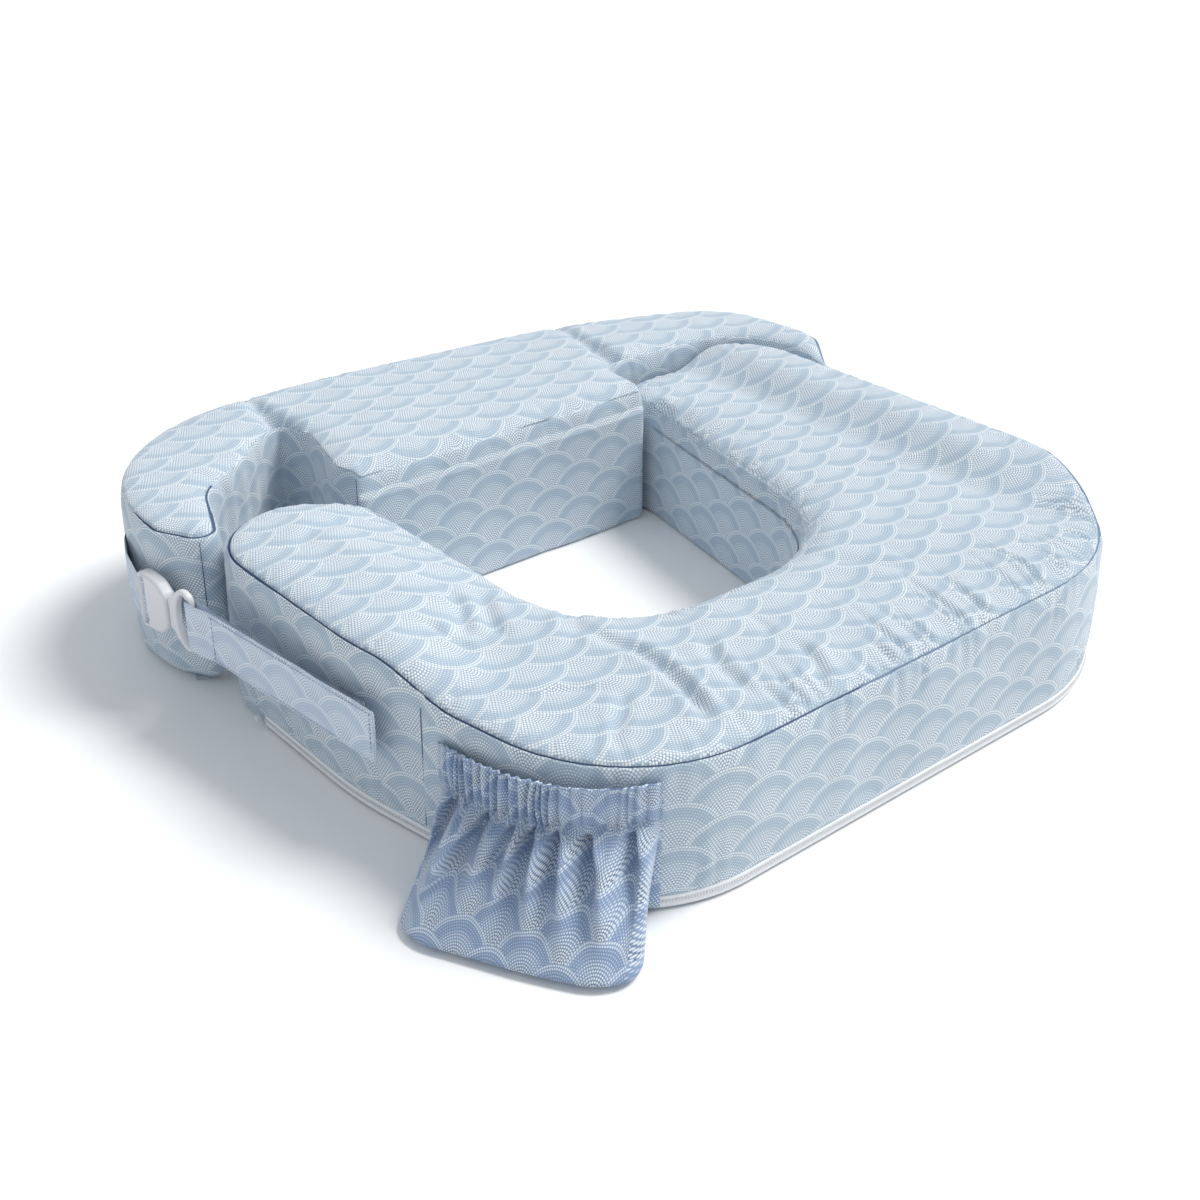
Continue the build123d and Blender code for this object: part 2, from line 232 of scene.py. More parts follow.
def fill_outline(boundary, step):
    """Triangles that fill a closed outline, with an even grid of points inside it."""
    low, high = boundary.min(0), boundary.max(0)
    rows = []
    for row, y in enumerate(np.arange(low[1], high[1], step * 0.866)):
        x = np.arange(low[0] + (row % 2) * step / 2, high[0], step)
        rows.append(np.column_stack([x, np.full(len(x), y)]))
    grid = np.vstack(rows)
    grid = grid[inside(grid, boundary)]
    gap, _ = nearest_on(grid, boundary)
    grid = grid[gap > step * 0.6]
    count = len(boundary)
    points = [Vector(p) for p in np.vstack([boundary, grid])]
    edges = [(i, (i + 1) % count) for i in range(count)]
    made = delaunay_2d_cdt(points, edges, [], 1, 1e-5)
    source = [o[0] if o else -1 for o in made[3]]
    flat = np.array([tuple(p) for p in made[0]])
    faces = [tuple(f) for f in made[2]]
    return flat, faces, source


def puckers(s, d, spacing, reach, depth, seed, slant=0.0):
    """Short gathers that run away from a seam: s is along the seam and d away from it."""
    u = s / spacing + slant * d / spacing + 0.25 * noise(s / 40, d / 30, seed)
    cell = np.floor(u)
    total = np.zeros_like(u)
    for step in (-1, 0, 1):
        c = cell + step
        centre = 0.2 + 0.6 * random_at(c, 1, seed)
        width = 0.14 + 0.16 * random_at(c, 2, seed)
        strength = random_at(c, 3, seed) ** 1.5
        long = reach * (0.5 + 1.1 * random_at(c, 4, seed))
        f = u - c - centre
        fade = (1 - np.exp(-d / 3.5)) * bell(d / long)
        total += strength * fade * (0.45 * bell(f / (2.4 * width)) - bell(f / width))
    return depth * total


def crease(points, start, end, width, depth, bow=0.0):
    """A long soft fold from start to end: a valley with a raised lip on each side."""
    a, b = np.array(start, float), np.array(end, float)
    d = b - a
    length = np.linalg.norm(d)
    along = (points - a) @ d / length ** 2
    across = ((points - a) @ np.array((-d[1], d[0]))) / length
    across = across - bow * 4 * along * (1 - along)
    fade = smooth((along + 0.15) / 0.4) * smooth((1.15 - along) / 0.4)
    return depth * fade * (0.5 * bell((across - 1.6 * width) / width)
                           + 0.3 * bell((across + 1.6 * width) / width)
                           - bell(across / width))


def linked(name, data):
    """A new object, linked to the scene."""
    made = bpy.data.objects.new(name, data)
    bpy.context.scene.collection.objects.link(made)
    return made


def belongs(piece, body, slot, *nodes):
    """Attaches a piece to the body it moves with and hides the CAD nodes it stands for. Its
    material slot, slot, is not used.
    """
    if nodes:
        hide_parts(*nodes)
    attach(piece, body)


class Patches:
    """Collects vertices, faces and texture coordinates, and makes one object of them."""

    def __init__(self):
        self.points, self.faces, self.uvs, self.kinds = [], [], [], []      # kinds: material slots
        self.count = 0

    def add(self, points):
        first = self.count
        self.points.append(np.asarray(points, float))
        self.count += len(points)
        return first

    def face(self, corners, uvs=None, kind=0):
        self.faces.append(tuple(int(c) for c in corners))
        self.uvs.append(uvs or [(0, 0)] * len(corners))
        self.kinds.append(kind)

    def fill(self, ring, count, flat, z, faces, source):
        """Triangles from fill_outline, inside a ring of count points that is already there."""
        source = np.array(source)
        new = (source < 0) | (source >= count)
        first = self.add(np.column_stack([flat, z])[new])
        index = np.where(new, first + np.cumsum(new) - 1, ring + source)
        for f in faces:
            self.face([index[k] for k in f], [top_uv(flat[k]) for k in f])

    def build(self, name, *materials):
        mesh = bpy.data.meshes.new(name)
        points = to_row(np.vstack(self.points))
        mesh.from_pydata(points.tolist(), [], self.faces)
        layer = mesh.uv_layers.new(name="UVMap")
        flat = np.array([uv for face in self.uvs for uv in face], np.float32) * MM
        layer.data.foreach_set("uv", flat.ravel())
        for material in materials:
            mesh.materials.append(material)
        mesh.polygons.foreach_set("material_index", self.kinds)
        mesh.shade_smooth()
        return linked(name, mesh)


# ---- cover meshes

# rows of the side wall: height above the floor and how far inside the outline, then the same
# measured down from the top seam
FOOT_ROWS = [(0.0, 5.0), (0.3, 3.3), (0.9, 1.9), (2.0, 0.8), (3.4, 0.2), (5.0, 0.0)]
HEAD_ROWS = [(-10.5, 0.2), (-7.5, 0.6), (-4.8, 1.1), (-2.6, 1.7), (-1.0, 2.4)]
SEAM_RINGS = (0.9, 2.3)         # rings of the top panel beside the seam
WALL_ROWS = 21                  # even rows between the foot and the head of the wall
WALL_FOOT, WALL_HEAD = 8.5, 14.0        # where they start and how far below the seam they end
FOOT_CLEAR = 5.6                # lowest start above a foot of size 1
TOP_FADE, SOFT_FADE = 7.0, 0.9  # the top panel rises over about this, and more at a soft edge
EDGE_SOFTNESS = 0.12            # how much wider the rows are spaced for each mm of extra drop
GROOVE_DROP, GROOVE_IN = 2.4, 0.5       # the seam's groove, below and inside it
LIP_DROP, LIP_IN = 1.0, 0.25    # and the groove's upper edge
HIDDEN_GROOVE = 0.15            # size of the groove where the seam hardly shows
BASE_STEP = 9.0                 # edge length of the base's triangles


def room_at(points):
    """From 0 to 1: how far an outline can be drawn in at each point before it folds over."""
    turn = np.roll(points, -2, axis=0) - 2 * points + np.roll(points, 2, axis=0)
    span = np.linalg.norm(np.roll(points, -2, axis=0) - points, axis=1)
    bend = np.maximum(0, -np.sum(turn * outward(points), axis=1)) / span ** 2
    share = np.clip(1 / (bend * 9.0 + 1e-6), 0.1, 1.0)
    for _ in range(3):
        share = np.minimum(share, (np.roll(share, 1) + share + np.roll(share, -1)) / 3)
    return share


def cover(name, corners, height, wall_shape, top_shape, foot_size, edge_drop, seam_shade_kind):
    """A sewn cover: a wall round the outline, a top panel crowned in from its seam, a flat base.

    The functions give, at points of the outline or of the panel: the top panel's height, the
    displacement of the wall and of the panel, the size of the foot's rounding, how far below the
    panel the seam lies, and the seam groove's painted shade, which is the index of its material.
    """
    line, s = rounded_line(corners)
    normal = outward(line)
    room = room_at(line)
    count = len(line)
    drop = edge_drop(line)
    seam_z = height(line) - drop
    body = Patches()

    # wall
    size = foot_size(line)
    kind = seam_shade_kind(line)
    softness = 1 + EDGE_SOFTNESS * (drop - SEAM_DROP)
    groove = np.where(kind == 0, HIDDEN_GROOVE, 1.0)
    seam_inset = (SEAM_INSET + GROOVE_IN * groove) * softness
    rows = [(z * size, inset * size) for z, inset in FOOT_ROWS]
    low, high = np.maximum(WALL_FOOT, FOOT_CLEAR * size), seam_z - WALL_HEAD
    for share in np.linspace(0, 1, WALL_ROWS):
        rows.append((low + share * (high - low), 0.0))
    rows += [(seam_z + dz * softness, inset * softness) for dz, inset in HEAD_ROWS]
    rows.append((seam_z - GROOVE_DROP * groove, seam_inset))
    firsts = []
    for z, inset in rows:
        push = wall_shape(line, s, z, seam_z) - inset * room
        ring = line + normal * push[:, None]
        firsts.append(body.add(np.column_stack([ring, z])))
    length = s[-1] + np.linalg.norm(line[0] - line[-1])
    s_next = np.append(s[1:], length)
    # the wall's faces next to the seam's groove take its painted shade
    for (z0, _), (z1, _), a, b in zip(rows[:-1], rows[1:], firsts[:-1], firsts[1:]):
        for i in range(count):
            j = (i + 1) % count
            body.face((a + i, a + j, b + j, b + i),
                      ((s[i], z0[i]), (s_next[i], z0[j]), (s_next[i], z1[j]), (s[i], z1[i])),
                      kind[i] if b == firsts[-1] else 0)

    # top panel: two rings beside the seam, then triangles
    seam_ring = line - normal * (seam_inset * room)[:, None]
    lip = seam_ring - normal * (LIP_IN * room)[:, None]
    rings = [firsts[-1], body.add(np.column_stack([lip, seam_z - LIP_DROP * groove]))]
    panel = [seam_ring, lip]
    for gap in SEAM_RINGS:
        ring = seam_ring - normal * (gap * room)[:, None]
        z = top_z(ring, np.full(count, gap), s, drop, height, top_shape)
        rings.append(body.add(np.column_stack([ring, z])))
        panel.append(ring)
    # the panel's faces at the seam's groove take its painted shade too
    for p, q, a, b in zip(panel[:-1], panel[1:], rings[:-1], rings[1:]):
        for i in range(count):
            j = (i + 1) % count
            body.face((a + i, a + j, b + j, b + i),
                      [top_uv(x) for x in (p[i], p[j], q[j], q[i])],
                      kind[i] if p is seam_ring else 0)
    flat, faces, source = fill_outline(panel[-1], MESH_STEP)
    gap, along = nearest_on(flat, seam_ring)
    along = along * length / outline_length(seam_ring)
    z = top_z(flat, gap, along, np.interp(along, s, drop), height, top_shape)
    body.fill(rings[-1], count, flat, z, faces, source)

    # base
    foot = line - normal * (FOOT_ROWS[0][1] * size * room)[:, None]
    flat, faces, source = fill_outline(foot, BASE_STEP)
    body.fill(firsts[0], count, flat, np.zeros(len(flat)), [f[::-1] for f in faces], source)
    return body.build(name, COVER_COTTON, SEAM_GROOVE_SHADE, PALE_SEAM_SHADE)


def rounded_line(corners):
    return resample(rounded(corners), MESH_STEP)


def outline_length(line):
    return np.linalg.norm(np.roll(line, -1, axis=0) - line, axis=1).sum()


def top_uv(p):
    return (p[0], -p[1])


def top_z(points, gap, along, drop, height, top_shape):
    rise = height(points) - drop * np.exp(-gap / (TOP_FADE + SOFT_FADE * (drop - SEAM_DROP)))
    return rise + top_shape(points, along, gap)


# ---- materials

class Nodes:
    """Short names for building a node tree."""

    def __init__(self, tree):
        self.tree = tree

    def node(self, kind, **settings):
        made = self.tree.nodes.new(kind)
        for key, value in settings.items():
            setattr(made, key, value)
        return made

    def feed(self, socket, value):
        if isinstance(value, bpy.types.NodeSocket):
            self.tree.links.new(value, socket)
        else:
            socket.default_value = value

    def math(self, operation, *values):
        made = self.node("ShaderNodeMath", operation=operation)
        for socket, value in zip(made.inputs, values):
            self.feed(socket, value)
        return made.outputs[0]

    def add(self, a, b):
        return self.math("ADD", a, b)

    def sub(self, a, b):
        return self.math("SUBTRACT", a, b)

    def mul(self, a, b):
        return self.math("MULTIPLY", a, b)

    def noise(self, place, scale, detail):
        made = self.node("ShaderNodeTexNoise")
        self.feed(made.inputs["Vector"], place)
        made.inputs["Scale"].default_value = scale
        made.inputs["Detail"].default_value = detail
        return made.outputs["Fac"]

    def bump(self, height, strength, distance):
        made = self.node("ShaderNodeBump")
        made.inputs["Strength"].default_value = strength
        made.inputs["Distance"].default_value = distance
        self.feed(made.inputs["Height"], height)
        return made.outputs[0]

    def mix(self, share, low, high):
        made = self.node("ShaderNodeMix", data_type="RGBA")
        self.feed(made.inputs["Factor"], share)
        self.feed(made.inputs["A"], low)
        self.feed(made.inputs["B"], high)
        return made.outputs["Result"]

    def ramp(self, value, low, high):
        """0 below low, 1 above high, smooth between them."""
        made = self.node("ShaderNodeMapRange", interpolation_type="SMOOTHSTEP")
        self.feed(made.inputs["Value"], value)
        self.feed(made.inputs["From Min"], low)
        self.feed(made.inputs["From Max"], high)
        return made.outputs["Result"]


def srgb(r, g, b):
    def linear(c):
        c /= 255
        return c / 12.92 if c <= 0.04045 else ((c + 0.055) / 1.055) ** 2.4
    return (linear(r), linear(g), linear(b), 1.0)


FAN_R = 0.0293            # radius of one printed fan
RINGS = 16                # dotted rings in one fan
THREAD_PITCH = 0.0007     # of the weave, for two threads


def new_material(name):
    """A material, a helper for its nodes, and its shader."""
    material = bpy.data.materials.new(name)
    material.use_nodes = True
    return material, Nodes(material.node_tree), material.node_tree.nodes["Principled BSDF"]


def fan_print_group():
    """Rows of overlapping fans drawn in dots. Gives the radius in the fan and a mask of dots."""
    group = bpy.data.node_groups.new("fan_print", "ShaderNodeTree")
    group.interface.new_socket("UV", in_out="INPUT", socket_type="NodeSocketVector")
    for name in ("Radius", "Dots"):
        group.interface.new_socket(name, in_out="OUTPUT", socket_type="NodeSocketFloat")
    n = Nodes(group)
    given = n.node("NodeGroupInput")
    result = n.node("NodeGroupOutput")
    split = n.node("ShaderNodeSeparateXYZ")
    n.feed(split.inputs[0], given.outputs[0])
    x = n.math("DIVIDE", split.outputs["X"], FAN_R)
    y = n.math("DIVIDE", split.outputs["Y"], FAN_R)

    # the row in front, k - 1, and the next one behind it, k
    y2 = n.mul(y, 2.0)
    k = n.math("FLOOR", y2)
    f = n.sub(y2, k)
    odd = n.math("FLOORED_MODULO", n.sub(k, 1.0), 2.0)
    dx1 = n.sub(n.math("FLOORED_MODULO", n.add(n.sub(x, odd), 1.0), 2.0), 1.0)
    dx2 = n.sub(n.math("FLOORED_MODULO", n.sub(x, odd), 2.0), 1.0)
    dy1 = n.mul(n.add(f, 1.0), 0.5)
    dy2 = n.mul(f, 0.5)

    def length(a, b):
        return n.math("SQRT", n.add(n.mul(a, a), n.mul(b, b)))

    front = n.math("LESS_THAN", length(dx1, dy1), 1.0)

    def choose(a, b):
        return n.add(n.mul(front, a), n.mul(n.sub(1.0, front), b))

    dx, dy = choose(dx1, dx2), choose(dy1, dy2)
    r = n.math("MINIMUM", length(dx, dy), 1.0)
    angle = n.math("ARCTAN2", dx, dy)

    # dots: rings of even width, staggered from ring to ring
    ring = n.mul(r, float(RINGS))
    number = n.math("FLOOR", ring)
    across = n.sub(n.sub(ring, number), 0.5)
    around_count = n.math("ROUND", n.mul(n.add(number, 0.5), 3.0))
    turn = n.mul(n.math("DIVIDE", angle, math.pi), around_count)
    stagger = n.mul(n.math("FLOORED_MODULO", number, 2.0), 0.5)
    cell = n.math("FRACT", n.add(n.add(turn, stagger), 100.0))
    along = n.sub(cell, 0.5)
    gap = length(across, along)
    size = n.sub(0.44, n.mul(n.ramp(r, 0.12, 0.66), 0.12))
    size = n.sub(size, n.mul(n.ramp(r, 0.62, 0.72), 0.06))
    size = n.add(size, n.mul(n.ramp(r, 0.86, 0.90), 0.14))
    dots = n.sub(1.0, n.ramp(gap, n.sub(size, 0.16), n.add(size, 0.10)))
    n.feed(result.inputs["Radius"], r)
    n.feed(result.inputs["Dots"], dots)
    return group


PRINT = fan_print_group()


def printed_cotton(name, ground, band, heart, dot):
    """Woven cotton printed with fans: ground colour, blue band, dark heart and pale dots."""
    material, n, shader = new_material(name)
    uv = n.node("ShaderNodeUVMap", uv_map="UVMap").outputs[0]
    fans = n.node("ShaderNodeGroup", node_tree=PRINT)
    n.feed(fans.inputs[0], uv)
    r, dots = fans.outputs["Radius"], fans.outputs["Dots"]

    in_band = n.mul(n.ramp(r, 0.58, 0.72), n.sub(1.0, n.ramp(r, 0.84, 0.95)))
    worn = n.ramp(n.noise(uv, 26.0, 3.0), 0.3, 0.7)
    colour = n.mix(n.mul(in_band, n.add(0.22, n.mul(worn, 0.45))), ground, band)
    in_heart = n.sub(1.0, n.ramp(r, 0.10, 0.52))
    colour = n.mix(n.mul(in_heart, 0.85), colour, heart)
    shown = n.mul(dots, n.sub(0.95, n.mul(worn, 0.15)))
    faint = n.sub(1.0, n.mul(in_band, 0.32))
    colour = n.mix(n.mul(shown, faint), colour, dot)
    n.feed(shader.inputs["Base Color"], colour)
    shader.inputs["Roughness"].default_value = 0.86
    shader.inputs["Sheen Weight"].default_value = 0.25
    shader.inputs["Sheen Roughness"].default_value = 0.5
    shader.inputs["Specular IOR Level"].default_value = 0.25

    # plain weave, with threads a little uneven
    split = n.node("ShaderNodeSeparateXYZ")
    n.feed(split.inputs[0], uv)
    thread = 2 * math.pi / THREAD_PITCH
    warp = n.math("SINE", n.mul(split.outputs["X"], thread))
    weft = n.math("SINE", n.mul(split.outputs["Y"], thread))
    weave = n.add(n.mul(n.mul(warp, weft), 0.5), n.noise(uv, 420.0, 2.0))
    n.feed(shader.inputs["Normal"], n.bump(weave, 0.35, 0.00025))
    return material


COVER_COTTON = printed_cotton("cover_cotton", srgb(170, 188, 203), srgb(162, 182, 201),
                              srgb(126, 149, 178), srgb(248, 250, 251))


def plain_material(name, colour, roughness, grain=600.0, bump=0.1, **inputs):
    """Plastic, tape or thread: one colour, a little uneven, with a fine grain."""
    material, n, shader = new_material(name)
    speck = n.noise(n.node("ShaderNodeTexCoord").outputs["Object"], grain, 3.0)
    shade = tuple(c * 0.90 for c in colour[:3]) + (1,)
    n.feed(shader.inputs["Base Color"], n.mix(speck, shade, colour))
    n.feed(shader.inputs["Roughness"], n.add(roughness - 0.06, n.mul(speck, 0.12)))
    n.feed(shader.inputs["Normal"], n.bump(speck, bump, 0.0003))
    for socket, value in inputs.items():
        shader.inputs[socket.replace("_", " ")].default_value = value
    return material


# Painted shade: the seam's groove is drawn in dark blue, standing for its thread and the shadow in
# the groove; the pale one is a lighter painted shade where the seam recedes.
SEAM_GROOVE_SHADE = plain_material("seam", srgb(84, 104, 136), 0.9, 2500.0, 0.3)
PALE_SEAM_SHADE = plain_material("pale_seam_shade", srgb(128, 147, 173), 0.9, 2500.0, 0.3)
# Dark thread that also paints the shade of the upright seams.
DARK_THREAD_SHADE = plain_material("dark_thread_shade", srgb(70, 90, 126), 0.85, 2500.0, 0.3)


# ---- tray cover

NEAR_SEAM_Y = -150.0      # an upright seam in the clip side
TRAY_CREASES = (          # start, end, width, depth, bow
    ((-140, -190), (-158, -272), 5.0, 5.0, 5.0), ((-146, -150), (-134, -206), 5.5, 2.6, -4.0),
    ((-188, -60), (-216, -116), 6.0, 3.2, 5.0), ((-168, -76), (-190, -124), 5.5, 3.0, -4.0),
    ((-125, -84), (-163, -160), 7.0, 2.4, 8.0), ((-229, -98), (-214, -132), 4.5, 2.4, 0.0),
    ((-60, -246), (-86, -292), 5.0, 2.8, 4.0), ((-98, -208), (-120, -268), 5.5, 3.0, -5.0),
    ((-226, -190), (-180, -214), 5.0, 2.2, 4.0), ((-206, -250), (-176, -222), 4.5, 2.4, 0.0),
    ((30, -176), (70, -226), 7.0, 1.8, 6.0), ((150, -80), (206, -120), 8.0, 1.6, 6.0),
    ((140, 20), (190, -10), 7.0, 1.6, -5.0), ((-240, 30), (-170, 50), 7.0, 1.8, 8.0),
)


def tray_wall(line, s, z, seam_z):
    x, y = line.T
    belly = 1.3 * np.sin(math.pi * np.clip(z / seam_z, 0, 1))
    sway = 1.1 * noise(s / 55, z / 60, 3) + 0.5 * noise(s / 18, z / 45, 4)
    outer = smooth((np.abs(x) - 175) / 30 + smooth((-y - 190) / 20))
    above_zip = outer * puckers(s, np.maximum(z - ZIP_TOP, 0.0), 12.0, 26.0, 5.0, 5, slant=0.15)
    below_seam = (1.5 - 0.5 * outer) * puckers(s, np.maximum(seam_z - z, 0.0), 12.0, 15.0, 3.0, 6)
    seam = -1.6 * bell((y - NEAR_SEAM_Y) / 2.5) * (x < -200)
    return (belly + sway + below_seam + seam) * smooth((z - ZIP_TOP) / 8) + above_zip


def tray_top(points, s, gap):
    x, y = points.T
    front = smooth((x + 175) / 60) * smooth((-y - 190) / 50)
    lift = (1.6 * noise(x / 70, y / 70, 11) + 0.9 * noise(x / 26, y / 26, 12)) * smooth(gap / 20)
    lift += puckers(s, gap, 9.0, 10.0, 3.0, 13, slant=0.2)
    lift += front * puckers(s, gap, 11.5, 40.0, 9.0, 14, slant=-0.3)
    waist = (np.abs(x) < 190) & (y > -200)
    lift += (1 - front) * puckers(s, gap, 17.0, 22.0, 3.4, 15, slant=0.25)
    lift += waist * puckers(s, gap, 10.0, 20.0, 4.5, 16, slant=0.15)
    for start, end, width, depth, bow in TRAY_CREASES:
        lift += crease(points, start, end, width, depth, bow)
    return lift


def even_foot(line):
    return np.ones(len(line))


def tray_edge_drop(line):
    """Round the waist the top panel rolls over softly before its seam."""
    x, y = line.T
    waist = smooth((150 - np.abs(x)) / 8) * smooth((y + 175) / 12) * smooth((112 - y) / 10)
    return SEAM_DROP + 5.5 * waist


def tray_seam_shade_kind(line):
    """Painted shade in the seam's groove: 0 none where the seam hides round the waist, 1 dark on
    the clip side, 2 paler where it recedes.
    """
    x, y = line.T
    dark = (x < -200) | ((y < -200) & (x < -60))
    outer = (np.abs(x) > 200) | (y < -200)
    return np.where(dark, 1, np.where(outer, 2, 0))


tray_cover = cover("tray_cover", TRAY_CORNERS, tray_height, tray_wall, tray_top, even_foot,
                   tray_edge_drop, tray_seam_shade_kind)
belongs(tray_cover, "tray", "cover_fabric", "tray_cover_top", "tray_cover_outer_side",
        "tray_cover_waist_side", "tray_cover_bottom", "tray_foam", "near_ridge_foam",
        "far_ridge_foam")


# ---- back band cover

def band_wall(line, s, z, seam_z):
    x, y = line.T
    high = np.clip(z / seam_z, 0, 1)
    lift = 1.2 * np.sin(math.pi * high)
    lift += 1.0 * noise(s / 50, z / 60, 23) + 0.5 * noise(s / 17, z / 50, 24)
    lift += puckers(s, np.maximum(seam_z - z, 0.0), 14.0, 16.0, 1.8, 25)
    for _, end in (NEAR_FLEX, FAR_FLEX):
        lift -= 3.0 * high * bell((x - end[0]) / 6) * (y > 240)
    cavity = smooth((-158 - x) / 12) * smooth((x + 246) / 20) * smooth((y - 120) / 30) * (y < 212)
    return lift + cavity * 2.4 * np.sin(s / 3.4 + noise(s / 30, 0, 27) * 2) * high * (1.1 - high)


def band_top(points, s, gap):
    x, y = points.T
    lift = (1.2 * noise(x / 60, y / 60, 31) + 0.6 * noise(x / 24, y / 24, 32)) * smooth(gap / 20)
    lift += puckers(s, gap, 11.0, 12.0, 1.8, 33, slant=-0.2) + puckers(s, gap, 23.0, 26.0, 2.0, 34)
    for (apex, end), depth, width in ((NEAR_FLEX, 15.0, 5.0), (FAR_FLEX, 9.0, 4.5)):
        a, d = np.array(apex), np.array(end) - np.array(apex)
        length = np.hypot(*d)
        along = (points - a) @ d / length ** 2
        across = (points - a) @ (-d[1], d[0]) / length
        open_share = np.clip(1 - along, 0, 1)
        on = smooth((along + 0.35) / 0.3)
        lift -= (depth * open_share ** 1.2 + 2.5) * bell(across / (width * (0.8 + open_share))) * on
        lift += on * puckers(along * length, np.abs(across), 9.0, 16.0, 2.4, 35)
    return lift


def band_foot(line):
    """The end pad's lower edges are rounded off far more than the others."""
    return 1 + 4.2 * smooth((180 - line[:, 1]) / 80) * smooth((-222 - line[:, 0]) / 30)


def band_edge_drop(line):
    """The block's front edge is soft."""
    x, y = line.T
    return SEAM_DROP + 3.5 * smooth((112 - y) / 8) * smooth((x + 152) / 6) * smooth((200 - x) / 20)


def band_seam_shade_kind(line):
    """Painted shade in the seam's groove: 1 dark at the end pad, 2 paler at the back, 0 none where
    the seam hides on the block's front edge.
    """
    x, y = line.T
    dark = (x < -236) & (y < 150)
    return np.where(dark, 1, np.where((y > 240) | (x > 300), 2, 0))


band = cover("band_whole", BAND_CORNERS, band_height, band_wall, band_top, band_foot,
             band_edge_drop, band_seam_shade_kind)


def split_cover(whole, names_and_tests):
    """Cuts one cover into several pieces that keep the whole cover's normals at the joins."""
    mesh = whole.data
    points = [tuple(v.co) for v in mesh.vertices]
    normals = [tuple(v.normal) for v in mesh.vertices]
    uv = [tuple(loop.uv) for loop in mesh.uv_layers["UVMap"].data]
    made = []
    polygons = [(list(p.vertices), list(p.loop_indices), p.center / MM, p.material_index)
                for p in mesh.polygons]
    for name, test in names_and_tests:
        chosen = [p for p in polygons if test(p[2].x - ORIGIN[0])]
        used = sorted({v for vs, *_ in chosen for v in vs})
        index = {v: k for k, v in enumerate(used)}
        part = bpy.data.meshes.new(name)
        part.from_pydata([points[v] for v in used], [],
                         [[index[v] for v in vs] for vs, *_ in chosen])
        layer = part.uv_layers.new(name="UVMap")
        layer.data.foreach_set("uv", [c for p in chosen for i in p[1] for c in uv[i]])
        for material in mesh.materials:
            part.materials.append(material)
        part.polygons.foreach_set("material_index", [p[3] for p in chosen])
        part.shade_smooth()
        part.normals_split_custom_set_from_vertices([normals[v] for v in used])
        made.append(linked(name, part))
    bpy.data.objects.remove(whole)
    return made


WING_CUT, LUMBAR_CUT = 228.0, -20.0
COVER_PARTS = ("_foam", "_cover_top", "_cover_side", "_cover_bottom")
wing_cover, far_back_cover, near_back_cover = split_cover(band, [
    ("band_cover_wing", lambda x: x > WING_CUT),
    ("band_cover_lumbar", lambda x: LUMBAR_CUT < x <= WING_CUT),
    ("band_cover_end_pad", lambda x: x <= LUMBAR_CUT),
])
for piece, low, high, start, end, nodes in (
    (wing_cover, "tray", "far_wing", (300, 26, 60), (300, 54, 60),
     [n + part for n in ("web", "far_wing") for part in COVER_PARTS]),
    (far_back_cover, "far_wing", "lumbar", (155, 159, 60), (137, 161, 60),
     ["lumbar" + part for part in COVER_PARTS]),
    (near_back_cover, "lumbar", "end_pad", (-143, 200, 60), (-156.8, 202.3, 60),
     ["end_pad" + part for part in COVER_PARTS]),
):
    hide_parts(*nodes)
    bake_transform(piece)


# ---- straps, zipper and pocket

STRAP_COTTON = printed_cotton("strap_cotton", srgb(188, 203, 221), srgb(178, 195, 216),
                              srgb(146, 167, 195), srgb(242, 245, 249))
POCKET_COTTON = printed_cotton("pocket_cotton", srgb(141, 162, 193), srgb(129, 151, 185),
                               srgb(82, 105, 141), srgb(234, 240, 245))


CLIP_PLASTIC = plain_material("clip_plastic", srgb(226, 226, 230), 0.38, 900.0, 0.06)
ZIP_TAPE = plain_material("zip_tape", srgb(251, 252, 254), 0.85, 2200.0, 0.5, Sheen_Weight=0.2)
ZIP_NYLON = plain_material("zip_nylon", srgb(236, 237, 239), 0.45, 1500.0, 0.1)
ZIP_METAL = plain_material("zip_lacquer", srgb(222, 223, 226), 0.32, 900.0, 0.08, Coat_Weight=0.3)
THREAD = plain_material("thread", srgb(150, 170, 196), 0.8, 3000.0, 0.4, Sheen_Weight=0.2)


def path_frame(path):
    """Distance along an open plan path, and its left-hand normals."""
    path = np.asarray(path, float)
    tangent = np.gradient(path, axis=0)
    tangent /= np.linalg.norm(tangent, axis=1)[:, None]
    return distances(path), np.column_stack([-tangent[:, 1], tangent[:, 0]])


def even_path(points, step):
    points = np.asarray(points, float)
    along = distances(points)
    s = np.linspace(0, along[-1], max(3, int(along[-1] / step) + 1))
    return points_at(s, along, points)


def rounded_path(corners, radius, step=1.0):
    """An open plan path whose corners are all rounded by one radius, as quadratic bends."""
    corners = [np.array(c, float) for c in corners]
    points = [corners[0]]
    for a, p, b in zip(corners[:-2], corners[1:-1], corners[2:]):
        ra = min(radius, np.linalg.norm(a - p) / 2)
        rb = min(radius, np.linalg.norm(b - p) / 2)
        start = p + unit(a - p) * ra
        end = p + unit(b - p) * rb
        for t in np.linspace(0, 1, 9):
            points.append((1 - t) ** 2 * start + 2 * t * (1 - t) * p + t * t * end)
    points.append(corners[-1])
    return even_path(points, step)


UNIT_UV = ((0, 0), (1, 0), (1, 1), (0, 1))


